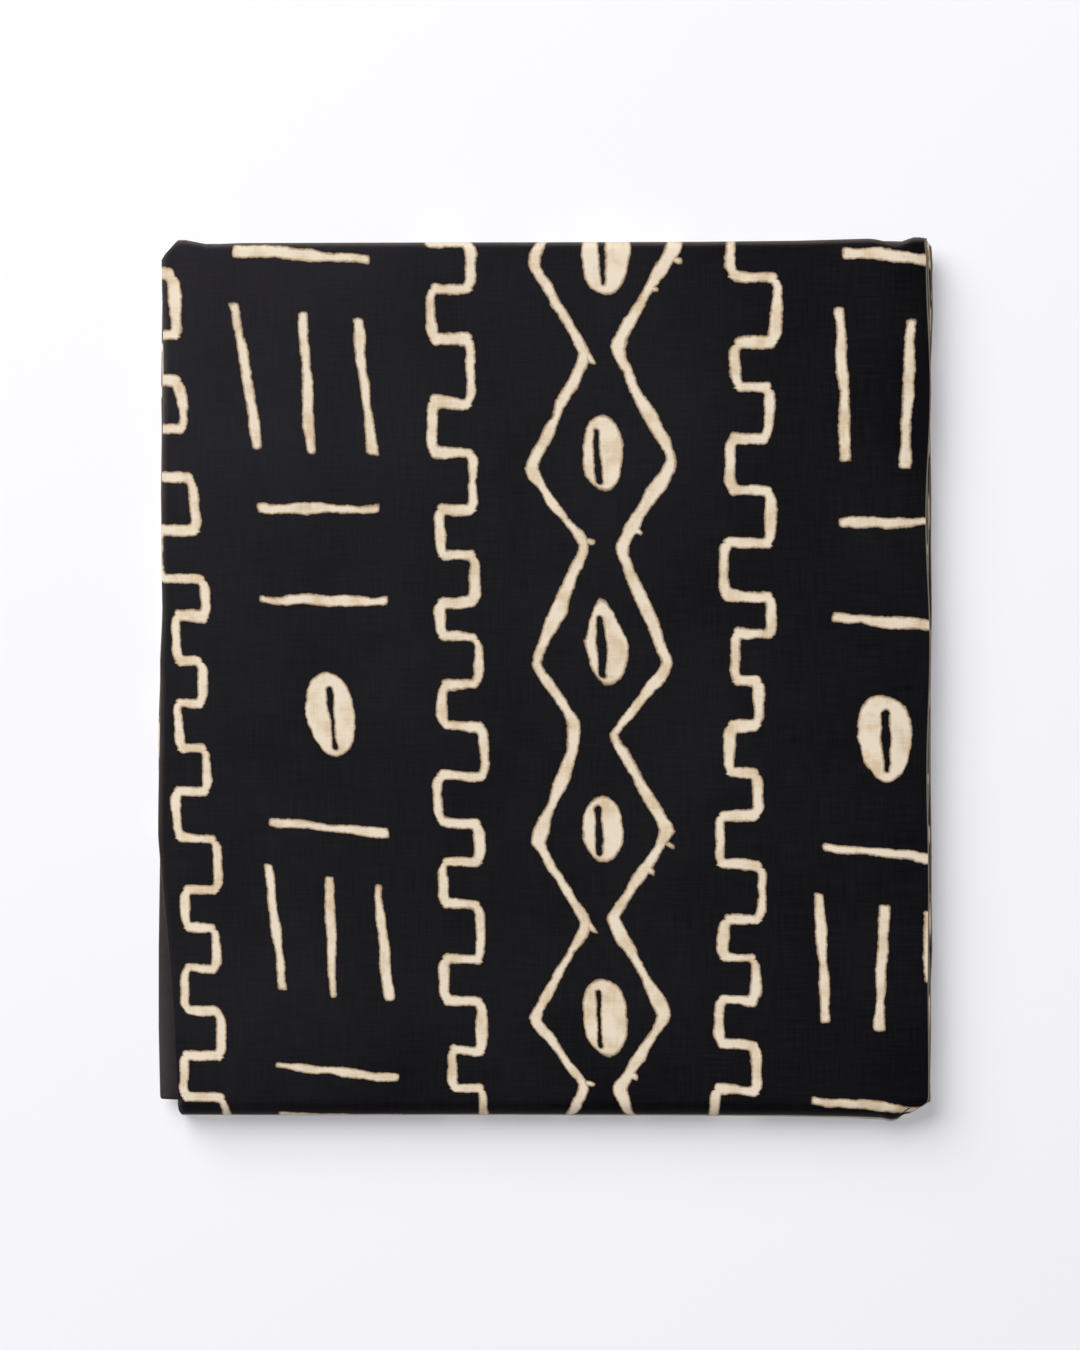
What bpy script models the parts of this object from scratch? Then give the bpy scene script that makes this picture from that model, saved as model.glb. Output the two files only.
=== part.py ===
"""Folded cotton cloth, lying flat: one length folded back and forth into eight layers.

Lengths are in metres, +X is the bundle's right side, +Y its back and +Z up. The origin is on the
surface it lies on, under the middle of the bundle. The cloth is one long strip: it starts as the
lowest layer, turns at the front and back folds and passes through all eight levels. Each layer
stands for the four plies that the cloth's width is folded into.
"""

import math
from typing import NamedTuple

import bmesh
import bpy

MM = 0.001

# overall size of the bundle, and of one layer
WIDTH = 0.290
DEPTH = 0.330
LAYER_THICKNESS = 0.0012
LAYER_PITCH = 0.00175

# levels that the outermost folds at the front and at the back join
FRONT_FOLD_LEVELS = (1, 8)
BACK_FOLD_LEVELS = (5, 8)

# how far the lower back fold and the free ends stay inside the back of the bundle
LOWER_FOLD_INSET = 0.0035
LOWEST_END_INSET = 0.0060
SECOND_END_INSET = 0.0045

# lengths over which the corners of the bundle are drawn in: both right ones and the back left one
# are short cuts, and at the front left the outer layers draw in along a third of the side
BACK_CORNER = 0.007
FRONT_CORNER = 0.0045
FRONT_LEFT_TAPER = 0.098

# distances from a layer's end at which it is sampled, and the number of steps between them
END_STATIONS = (0.0, 0.0035, 0.007)
FLAT_STATIONS = 5

# sideways waviness of the side edges
EDGE_WAVE = 0.0004
EDGE_WAVE_LENGTH = 0.115

# the layers press together a little along both sides, and rise and sink over the bundle
SIDE_PRESS = 0.10
SIDE_PRESS_WIDTH = 0.022
SWELL = 0.035
SWELL_LENGTH_X = 0.210
SWELL_LENGTH_Y = 0.260
SWELL_START_X = 0.7
SWELL_START_Y = 0.4

# share of the width at which the cloth is sampled, closer together near both sides
ACROSS = (
    0.0, 0.013, 0.030, 0.061, 0.103, 0.20, 0.31, 0.40, 0.50,
    0.60, 0.70, 0.80, 0.882, 0.924, 0.955, 0.981, 1.0,
)

# the back and front edges bend in and out over this length of the layers
OUTLINE_REACH = 0.030

# segments round a tight fold, and more of them for each further level that it spans
TIGHT_FOLD_SEGMENTS = 6
SEGMENTS_PER_LEVEL = 1

# edges sharper than this stay crisp, in degrees
SHARP_ANGLE = 40.0

CLOTH_COLOUR = (0.012, 0.011, 0.014, 1.0)
CLOTH_ROUGHNESS = 0.9


class Bend(NamedTuple):
    """One place along the back or front edge, and how far the edge is set in there."""

    x: float
    inset: float


BACK_OUTLINE = (
    Bend(x=-0.1450, inset=0.0016),
    Bend(x=-0.1363, inset=0.0010),
    Bend(x=-0.1273, inset=0.0034),
    Bend(x=-0.1150, inset=0.0021),
    Bend(x=-0.0550, inset=0.0018),
    Bend(x=0.0580, inset=0.0014),
    Bend(x=0.1110, inset=0.0019),
    Bend(x=0.1230, inset=0.0011),
    Bend(x=0.1320, inset=0.0029),
    Bend(x=0.1395, inset=0.0),
    Bend(x=0.1450, inset=0.0010),
)
FRONT_OUTLINE = (
    Bend(x=-0.1450, inset=0.0006),
    Bend(x=-0.0900, inset=0.0),
    Bend(x=-0.0290, inset=0.0004),
    Bend(x=0.0580, inset=0.0001),
    Bend(x=0.1450, inset=0.0005),
)


class Run(NamedTuple):
    """One layer between two folds, in the order the cloth passes through them.

    left and right are the insets of the side edges from the bundle's box, and the other four are
    how much further each corner is drawn in, all in millimetres.
    """

    level: float
    left: float
    right: float
    back_left: float
    back_right: float
    front_left: float
    front_right: float


RUNS = (
    Run(level=1, left=1.6, right=0.9, back_left=6.0, back_right=1.0, front_left=5.2, front_right=9.0),
    Run(level=8, left=0.5, right=1.1, back_left=6.6, back_right=1.0, front_left=6.2, front_right=8.8),
    Run(level=5, left=0.0, right=0.6, back_left=6.2, back_right=0.7, front_left=0.2, front_right=1.2),
    Run(level=4, left=0.3, right=0.9, back_left=4.6, back_right=1.2, front_left=0.1, front_right=1.6),
    Run(level=3, left=1.2, right=0.3, back_left=5.2, back_right=0.8, front_left=5.0, front_right=5.2),
    Run(level=6, left=0.8, right=0.0, back_left=5.0, back_right=0.9, front_left=5.3, front_right=5.6),
    Run(level=7, left=0.2, right=0.5, back_left=6.4, back_right=0.6, front_left=6.0, front_right=7.2),
    Run(level=2, left=1.0, right=1.2, back_left=5.4, back_right=0.5, front_left=5.4, front_right=8.2),
)


class Station(NamedTuple):
    """One row of the cloth: its place in the section, and where its two side edges are."""

    y: float
    z: float
    left: float
    right: float


def level_height(level: float) -> float:
    """Height of a level's middle above the surface."""
    return LAYER_THICKNESS / 2 + (level - 1) * LAYER_PITCH


def fold_radius(level_a: float, level_b: float) -> float:
    """Radius of the middle of the layer in the fold that joins two levels."""
    return abs(level_a - level_b) / 2 * LAYER_PITCH


def front_centre() -> float:
    """Place in Y that all the front folds turn about."""
    return -DEPTH / 2 + fold_radius(*FRONT_FOLD_LEVELS) + LAYER_THICKNESS / 2


def back_centre(level_a: float, level_b: float) -> float:
    """Place in Y that a back fold turns about: the upper two share one, the lower has its own."""
    if max(level_a, level_b) >= BACK_FOLD_LEVELS[0]:
        return DEPTH / 2 - fold_radius(*BACK_FOLD_LEVELS) - LAYER_THICKNESS / 2
    return DEPTH / 2 - LOWER_FOLD_INSET - fold_radius(level_a, level_b) - LAYER_THICKNESS / 2


def between(start: float, end: float, share: float) -> float:
    """The value a share of the way from one to another."""
    return start + (end - start) * share


def side_edges(run: Run, y: float) -> tuple[float, float]:
    """Where the left and right edges of a layer, or of a row round its fold, are at y."""
    near_back = max(0.0, 1.0 - (DEPTH / 2 - y) / BACK_CORNER)
    near_front = max(0.0, 1.0 - (y + DEPTH / 2) / FRONT_CORNER)
    taper = min(1.0, max(0.0, 1.0 - (y - front_centre()) / FRONT_LEFT_TAPER))
    wave = EDGE_WAVE * math.sin(math.tau * y / EDGE_WAVE_LENGTH + run.level)
    left = run.left + near_back * run.back_left + taper * run.front_left
    right = run.right + near_back * run.back_right + near_front * run.front_right
    return left * MM + EDGE_WAVE + wave - WIDTH / 2, WIDTH / 2 - right * MM - EDGE_WAVE + wave


def station(run: Run, y: float, z: float) -> Station:
    """One row of a layer, with its side edges."""
    left, right = side_edges(run, y)
    return Station(y, z, left, right)


def run_stations(run: Run, back: float, front: float, forward: bool) -> list[Station]:
    """Rows of one flat layer, from its back to its front end or the other way."""
    flat_back = back - END_STATIONS[-1]
    flat_front = front + END_STATIONS[-1]
    places = [back - step for step in END_STATIONS]
    places += [between(flat_back, flat_front, step / FLAT_STATIONS) for step in range(1, FLAT_STATIONS)]
    places += [front + step for step in reversed(END_STATIONS)]
    rows = [station(run, y, level_height(run.level)) for y in places]
    return rows if forward else rows[::-1]


def fold_stations(run: Run, following: Run, centre: float, direction: int) -> list[Station]:
    """Rows round one fold, without its two ends, which belong to the layers that it joins."""
    middle = level_height((run.level + following.level) / 2)
    radius = fold_radius(run.level, following.level)
    count = TIGHT_FOLD_SEGMENTS + SEGMENTS_PER_LEVEL * round(abs(run.level - following.level))
    rows = []
    for step in range(1, count):
        share = step / count
        blend = Run(*(between(here, there, share) for here, there in zip(run, following)))
        y = centre + direction * radius * math.sin(math.pi * share)
        z = middle + (level_height(run.level) - middle) * math.cos(math.pi * share)
        rows.append(station(blend, y, z))
    return rows


def cloth_stations() -> list[Station]:
    """All rows of the cloth, from its lower free end to its upper one."""
    runs = []
    for index, run in enumerate(RUNS):
        forward = index % 2 == 0
        if index == 0:
            back = DEPTH / 2 - LOWEST_END_INSET
        elif index == len(RUNS) - 1:
            back = DEPTH / 2 - SECOND_END_INSET
        else:
            partner = RUNS[index - 1] if forward else RUNS[index + 1]
            back = back_centre(run.level, partner.level)
        runs.append(run_stations(run, back, front_centre(), forward))
    rows = list(runs[0])
    for index in range(1, len(runs)):
        direction = -1 if index % 2 == 1 else 1
        rows += fold_stations(RUNS[index - 1], RUNS[index], rows[-1].y, direction)
        rows += runs[index]
    return rows


def outline_inset(outline: tuple[Bend, ...], x: float) -> float:
    """How far the back or front edge is set in at x."""
    inset = outline[-1].inset
    for here, there in zip(outline, outline[1:]):
        if x <= there.x:
            share = max(0.0, (x - here.x) / (there.x - here.x))
            inset = between(here.inset, there.inset, share)
            break
    return inset


def outline_shift(x: float, y: float) -> float:
    """How far a point moves in Y so that the back and front edges follow their outlines."""
    near_back = max(0.0, 1.0 - (DEPTH / 2 - y) / OUTLINE_REACH)
    near_front = max(0.0, 1.0 - (y + DEPTH / 2) / OUTLINE_REACH)
    return near_front * outline_inset(FRONT_OUTLINE, x) - near_back * outline_inset(BACK_OUTLINE, x)


def stack_scale(x: float, y: float) -> float:
    """How much the layers' heights above the lowest one are stretched at a place in the plan."""
    from_side = min(1.0, (WIDTH / 2 - abs(x)) / SIDE_PRESS_WIDTH)
    press = SIDE_PRESS * (1.0 - from_side) ** 2
    swell_x = math.sin(math.tau * x / SWELL_LENGTH_X + SWELL_START_X)
    swell_y = math.sin(math.tau * y / SWELL_LENGTH_Y + SWELL_START_Y)
    return 1.0 - press - SWELL * (1.0 - swell_x * swell_y) / 2


def cloth_surface(name: str) -> bpy.types.Object:
    """The middle surface of the whole cloth: a flat grid, folded along its rows."""
    stations = cloth_stations()
    rows = len(stations) - 1
    columns = len(ACROSS) - 1
    grid = bmesh.new()
    bmesh.ops.create_grid(grid, x_segments=columns, y_segments=rows, size=0.5)
    lowest = level_height(1)
    for vertex in grid.verts:
        share = ACROSS[round((vertex.co.x + 0.5) * columns)]
        place = stations[round((vertex.co.y + 0.5) * rows)]
        x = between(place.left, place.right, share)
        z = lowest + (place.z - lowest) * stack_scale(x, place.y)
        vertex.co = (x, place.y + outline_shift(x, place.y), z)
    mesh = bpy.data.meshes.new(name)
    grid.to_mesh(mesh)
    grid.free()
    mesh.shade_smooth()
    mesh.set_sharp_from_angle(angle=math.radians(SHARP_ANGLE))
    return bpy.data.objects.new(name, mesh)


def cloth_material(name: str) -> bpy.types.Material:
    """Plain dark cotton."""
    material = bpy.data.materials.new(name)
    material.use_nodes = True
    shader = material.node_tree.nodes["Principled BSDF"]
    shader.inputs["Base Color"].default_value = CLOTH_COLOUR
    shader.inputs["Roughness"].default_value = CLOTH_ROUGHNESS
    shader.inputs["Metallic"].default_value = 0.0
    return material


def main() -> None:
    """Clear the scene, then build the folded cloth."""
    for old in list(bpy.data.objects):
        bpy.data.objects.remove(old, do_unlink=True)
    collection = bpy.data.collections.new("folded_cotton_cloth")
    bpy.context.scene.collection.children.link(collection)
    cloth = cloth_surface("folded_cloth")
    collection.objects.link(cloth)
    cloth.data.materials.append(cloth_material("printed_cotton"))
    shell = cloth.modifiers.new("thickness", "SOLIDIFY")
    shell.thickness = LAYER_THICKNESS
    shell.offset = 0.0
    shell.use_even_offset = True


main()
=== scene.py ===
"""Looks of the folded cotton cloth: one thin printed sheet that follows the folds of its solid.

Lengths are in metres in the frame's axes: +X is the bundle's right side, +Y its back, +Z up.
The sheet is folded in four across its width, which makes the four plies of each layer, and then
back and forth along its length into the solid's eight layers.
"""
import logging
import math
from dataclasses import dataclass
from enum import Enum
from typing import NamedTuple, Optional, Union

import bpy
import numpy as np
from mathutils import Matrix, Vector


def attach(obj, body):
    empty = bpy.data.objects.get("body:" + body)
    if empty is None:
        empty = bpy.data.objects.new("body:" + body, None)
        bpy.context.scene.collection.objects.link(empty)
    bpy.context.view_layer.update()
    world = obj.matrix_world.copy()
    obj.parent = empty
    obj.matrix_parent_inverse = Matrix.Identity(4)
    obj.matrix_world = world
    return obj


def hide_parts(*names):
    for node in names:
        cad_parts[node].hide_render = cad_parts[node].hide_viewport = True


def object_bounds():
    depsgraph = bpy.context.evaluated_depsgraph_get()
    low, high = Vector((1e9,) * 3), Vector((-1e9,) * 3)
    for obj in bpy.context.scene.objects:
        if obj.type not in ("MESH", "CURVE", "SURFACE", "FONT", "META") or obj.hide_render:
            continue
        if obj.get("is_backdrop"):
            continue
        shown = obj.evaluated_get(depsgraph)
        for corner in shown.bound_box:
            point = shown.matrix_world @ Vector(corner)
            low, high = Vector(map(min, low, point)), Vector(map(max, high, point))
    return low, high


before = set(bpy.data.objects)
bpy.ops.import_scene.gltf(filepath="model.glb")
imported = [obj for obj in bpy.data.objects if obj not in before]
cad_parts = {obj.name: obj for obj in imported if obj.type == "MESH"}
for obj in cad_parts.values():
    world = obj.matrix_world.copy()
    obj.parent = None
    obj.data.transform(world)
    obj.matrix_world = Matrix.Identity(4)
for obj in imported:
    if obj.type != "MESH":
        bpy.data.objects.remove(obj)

MM = 0.001
NODE = "folded_cloth"
LOG = logging.getLogger("folded_cloth")

# the picture's size and the bundle's place in it, in pixels
PICTURE_WIDTH = 1080
PICTURE_HEIGHT = 1350
PIXELS_PER_METRE = 2658.6
BUNDLE_MIDDLE_X = 545.5
BUNDLE_MIDDLE_Y = 675.5


class Run(NamedTuple):
    """One layer between two folds, in the order the cloth passes through them.

    left and right are the insets of the side edges from the bundle's box, and the other four are
    how much further each corner is drawn in, all in millimetres.
    """

    level: float
    left: float
    right: float
    back_left: float
    back_right: float
    front_left: float
    front_right: float


class Bend(NamedTuple):
    """One place along the back or front edge, and how far the edge is set in there."""

    x: float
    inset: float


class Crease(NamedTuple):
    """A soft trough in the top layer, from one place to another, negative for a ridge."""

    start_x: float
    start_y: float
    end_x: float
    end_y: float
    depth: float
    width: float


class Rows(NamedTuple):
    """Rows of the sheet along the section, one value for each row."""

    y: np.ndarray
    z: np.ndarray
    normal_y: np.ndarray
    normal_z: np.ndarray
    arc: np.ndarray
    runs: np.ndarray
    crest: np.ndarray
    on_top: np.ndarray


class Columns(NamedTuple):
    """Columns of the sheet across the folded width, one value for each column."""

    share: np.ndarray
    offset: np.ndarray
    overhang: np.ndarray
    flat: np.ndarray
    crest: np.ndarray
    ply: np.ndarray


@dataclass
class FoldSection:
    """The back-and-forth section of the cloth, seen from the side.

    The lip is the soft lower part of the front roll, and the bulges are where the lower layers come
    out from under the top one at the left and right.
    """

    width: float
    depth: float
    layer_thickness: float = 0.0012
    layer_pitch: float = 0.00175
    front_fold_levels: tuple[int, int] = (1, 8)
    back_fold_levels: tuple[int, int] = (5, 8)
    lower_fold_inset: float = 0.0035
    lowest_end_inset: float = 0.0060
    second_end_inset: float = 0.0045
    back_corner: float = 0.007
    front_corner: float = 0.0045
    front_left_taper: float = 0.098
    edge_wave: float = 0.0004
    edge_wave_length: float = 0.115
    outline_reach: float = 0.030
    side_press: float = 0.10
    side_press_width: float = 0.022
    swell: float = 0.035
    swell_length_x: float = 0.210
    swell_length_y: float = 0.260
    swell_start_x: float = 0.7
    swell_start_y: float = 0.4
    top_rows: int = 140
    hidden_rows: int = 12
    tight_fold_rows: int = 8
    crest_sharpness: float = 6.0
    # how broadly the back roll's pale tone rises: wear, and a painted highlight of the lit rounding
    back_wear_and_highlight_sharpness: float = 1.4
    lip_angle: float = 1.38
    lip_angle_spread: float = 0.36
    lip_under_spread: float = 0.19
    lip_wear: float = 2.6
    runs: tuple[Run, ...] = (
        Run(level=1, left=1.6, right=0.9, back_left=6.0, back_right=1.0, front_left=6.3, front_right=9.0),
        Run(level=8, left=0.5, right=1.1, back_left=6.6, back_right=1.0, front_left=7.4, front_right=8.8),
        Run(level=5, left=0.0, right=0.6, back_left=6.2, back_right=0.7, front_left=0.2, front_right=1.2),
        Run(level=4, left=0.3, right=0.9, back_left=4.6, back_right=1.2, front_left=0.1, front_right=1.6),
        Run(level=3, left=1.2, right=0.3, back_left=5.2, back_right=0.8, front_left=7.1, front_right=5.2),
        Run(level=6, left=0.8, right=0.0, back_left=5.0, back_right=0.9, front_left=7.6, front_right=5.6),
        Run(level=7, left=0.2, right=0.5, back_left=6.4, back_right=0.6, front_left=8.2, front_right=7.2),
        Run(level=2, left=1.0, right=1.2, back_left=5.4, back_right=0.5, front_left=7.3, front_right=8.2),
    )
    back_outline: tuple[Bend, ...] = (
        Bend(x=-0.1450, inset=0.0010),
        Bend(x=-0.1363, inset=0.0006),
        Bend(x=-0.1273, inset=0.0024),
        Bend(x=-0.1150, inset=0.0019),
        Bend(x=-0.0550, inset=0.0017),
        Bend(x=0.0580, inset=0.0014),
        Bend(x=0.0950, inset=0.0010),
        Bend(x=0.1230, inset=0.0002),
        Bend(x=0.1320, inset=0.0021),
        Bend(x=0.1395, inset=-0.0006),
        Bend(x=0.1450, inset=0.0002),
    )
    front_outline: tuple[Bend, ...] = (
        Bend(x=-0.1450, inset=-0.0005),
        Bend(x=-0.1378, inset=-0.0009),
        Bend(x=-0.0900, inset=-0.0010),
        Bend(x=-0.0290, inset=-0.0008),
        Bend(x=0.0580, inset=-0.0010),
        Bend(x=0.0900, inset=-0.0012),
        Bend(x=0.1150, inset=-0.0016),
        Bend(x=0.1270, inset=-0.0019),
        Bend(x=0.1296, inset=-0.0029),
        Bend(x=0.1322, inset=-0.0029),
        Bend(x=0.1352, inset=-0.0010),
        Bend(x=0.1380, inset=-0.0004),
        Bend(x=0.1450, inset=0.0),
    )
    lip_outline: tuple[Bend, ...] = (
        Bend(x=-0.1450, inset=0.0),
        Bend(x=-0.1398, inset=-0.0013),
        Bend(x=0.0700, inset=-0.0017),
        Bend(x=0.1280, inset=-0.0020),
        Bend(x=0.1330, inset=-0.0021),
        Bend(x=0.1352, inset=-0.0004),
        Bend(x=0.1450, inset=0.0),
    )
    lip_height: float = 0.0030
    lip_spread: float = 0.0024
    left_reach: float = 0.0002
    left_bulge: float = 0.0012
    left_bulge_start: float = 0.024
    left_bulge_length: float = 0.018
    right_bulge: float = 0.0009

    def height(self, level: float) -> float:
        """Height of a level's middle above the surface."""
        return self.layer_thickness / 2 + (level - 1) * self.layer_pitch

    def radius(self, level_a: float, level_b: float) -> float:
        """Radius of the layer's middle in the fold that joins two levels."""
        return abs(level_a - level_b) / 2 * self.layer_pitch

    def front_centre(self) -> float:
        """Place in Y that all the front folds turn about."""
        return -self.depth / 2 + self.radius(*self.front_fold_levels) + self.layer_thickness / 2

    def back_centre(self, index: int) -> float:
        """Place in Y where a run's back end is: a fold's centre, or a free end.

        Args:
            index: the run's place in the order of the runs.

        Returns:
            The Y of that end.
        """
        if index == 0:
            return self.depth / 2 - self.lowest_end_inset
        if index == len(self.runs) - 1:
            return self.depth / 2 - self.second_end_inset
        partner = self.runs[index - 1] if index % 2 == 0 else self.runs[index + 1]
        if max(self.runs[index].level, partner.level) >= self.back_fold_levels[0]:
            return self.depth / 2 - self.radius(*self.back_fold_levels) - self.layer_thickness / 2
        radius = self.radius(self.runs[index].level, partner.level)
        return self.depth / 2 - self.lower_fold_inset - radius - self.layer_thickness / 2

    def run_rows(self, index: int) -> np.ndarray:
        """Rows of one flat layer: y, z, normal, the run's table, crest and whether it is on top.

        Args:
            index: the run's place in the order of the runs.

        Returns:
            One row of values for each place, in the order the cloth passes through them.
        """
        run = self.runs[index]
        top = run.level == max(self.front_fold_levels)
        share = np.linspace(0.0, 1.0, self.top_rows if top else self.hidden_rows)
        if not top:
            share = 0.5 - 0.5 * np.cos(math.pi * share)
        back, front = self.back_centre(index), self.front_centre()
        heading = -1 if index % 2 == 0 else 1
        y = back + (front - back) * share if heading < 0 else front + (back - front) * share
        rows = np.zeros((len(y), 6 + len(run)))
        rows[:, 0] = y
        rows[:, 1] = self.height(run.level)
        rows[:, 3] = heading
        rows[:, 5] = float(top)
        rows[:, 6:] = run
        return rows

    def fold_rows(self, index: int) -> np.ndarray:
        """Rows round the fold before one run, without its two ends, with the same values.

        Args:
            index: the run's place in the order of the runs.

        Returns:
            One row of values for each place round the fold.
        """
        before, run = self.runs[index - 1], self.runs[index]
        side = -1 if index % 2 == 1 else 1
        rise = math.copysign(1.0, run.level - before.level)
        radius = self.radius(before.level, run.level)
        count = self.tight_fold_rows + round(abs(run.level - before.level))
        share = np.arange(1, count) / count
        angle = math.pi * share
        centre = self.front_centre() if side < 0 else self.back_centre(index)
        rows = np.zeros((count - 1, 6 + len(run)))
        rows[:, 0] = centre + side * radius * np.sin(angle)
        rows[:, 1] = self.height((before.level + run.level) / 2) - rise * radius * np.cos(angle)
        rows[:, 2] = -rise * np.sin(angle)
        rows[:, 3] = side * np.cos(angle)
        rows[:, 4] = self.wear_and_highlight(index, angle)
        rows[:, 6:] = np.array(before) + np.outer(share, np.array(run) - np.array(before))
        return rows

    def wear_and_highlight(self, index: int, angle: np.ndarray) -> np.ndarray:
        """How much wear the cloth has round the fold before one run, 2 or more where it is palest; round the
        back fold the value also holds a painted highlight.

        Args:
            index: the run's place in the order of the runs.
            angle: the angles round the fold, from 0 to pi.

        Returns:
            The wear at each angle.
        """
        if index == 1:
            spread = np.where(angle < self.lip_angle, self.lip_under_spread, self.lip_angle_spread)
            return self.lip_wear * np.exp(-(((angle - self.lip_angle) / spread) ** 2))
        # round the back fold the pale tone is wear and a painted highlight where the roll catches the light
        # from the back
        if index == 2:
            return 0.9 * np.sin(angle) ** self.back_wear_and_highlight_sharpness
        return np.sin(angle) ** self.crest_sharpness

    def rows(self) -> Rows:
        """Samples the section from the cloth's lower free end to its upper one.

        Returns:
            The rows, with their places, normals and lengths along the cloth.
        """
        parts = [self.run_rows(0)]
        for index in range(1, len(self.runs)):
            parts += [self.fold_rows(index), self.run_rows(index)]
        table = np.concatenate(parts)
        steps = np.hypot(*np.diff(table[:, :2], axis=0).T)
        arc = np.concatenate([[0.0], np.cumsum(steps)])
        y, z, normal_y, normal_z, crest, on_top = table[:, :6].T
        return Rows(y, z, normal_y, normal_z, arc, table[:, 6:], crest, on_top)

    def side_edges(self, rows: Rows) -> tuple[np.ndarray, np.ndarray]:
        """Where the left and right edges of each row are.

        Args:
            rows: the rows of the section.

        Returns:
            The X of the left edge and of the right edge of each row.
        """
        level, left, right, back_left, back_right, front_left, front_right = rows.runs.T
        near_back = np.maximum(0.0, 1.0 - (self.depth / 2 - rows.y) / self.back_corner)
        near_front = np.maximum(0.0, 1.0 - (rows.y + self.depth / 2) / self.front_corner)
        wave = self.edge_wave * np.sin(math.tau * rows.y / self.edge_wave_length + level)
        left = left + near_back * back_left + self.drawn_in(rows.y) * front_left
        right = right + near_back * back_right + near_front * front_right
        bulge = np.clip((self.left_bulge_start - rows.y) / self.left_bulge_length, 0.0, 1.0)
        return (
            left * MM + self.edge_wave + wave - self.width / 2 - self.left_reach - self.left_bulge * bulge,
            self.width / 2 - right * MM - self.edge_wave + wave + self.right_bulge,
        )

    def drawn_in(self, y: np.ndarray) -> np.ndarray:
        """Share of the left edge's slant towards the front that is reached at each Y."""
        return np.clip(1.0 - (y - self.front_centre()) / self.front_left_taper, 0.0, 1.0)

    def outline_shift(self, x: np.ndarray, y: np.ndarray) -> np.ndarray:
        """How far points move in Y so that the back and front edges follow their outlines.

        Args:
            x: places across the bundle.
            y: places along it.

        Returns:
            The distance to move each place.
        """
        near_back = np.maximum(0.0, 1.0 - (self.depth / 2 - y) / self.outline_reach)
        near_front = np.maximum(0.0, 1.0 - (y + self.depth / 2) / self.outline_reach)
        back = np.interp(x, *np.array(self.back_outline).T)
        front = np.interp(x, *np.array(self.front_outline).T)
        return near_front * front - near_back * back

    def lip(self, x: np.ndarray, y: np.ndarray, z: np.ndarray) -> np.ndarray:
        """How far the lower part of the front roll is pushed forward.

        Args:
            x: places across the bundle.
            y: places along it.
            z: their heights.

        Returns:
            The distance to move each place in Y.
        """
        near_front = np.maximum(0.0, 1.0 - (y + self.depth / 2) / self.outline_reach)
        low = np.exp(-(((z - self.lip_height) / self.lip_spread) ** 2))
        return near_front * low * np.interp(x, *np.array(self.lip_outline).T)

    def stack_scale(self, x: np.ndarray, y: np.ndarray) -> np.ndarray:
        """How much the heights above the lowest layer are stretched.

        Args:
            x: places across the bundle.
            y: places along it.

        Returns:
            The stretch at each place.
        """
        from_side = np.clip((self.width / 2 - np.abs(x)) / self.side_press_width, 0.0, 1.0)
        swell_x = np.sin(math.tau * x / self.swell_length_x + self.swell_start_x)
        swell_y = np.sin(math.tau * y / self.swell_length_y + self.swell_start_y)
        sunk = self.swell * (1.0 - swell_x * swell_y) / 2
        return 1.0 - self.side_press * (1.0 - from_side) ** 2 - sunk


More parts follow.
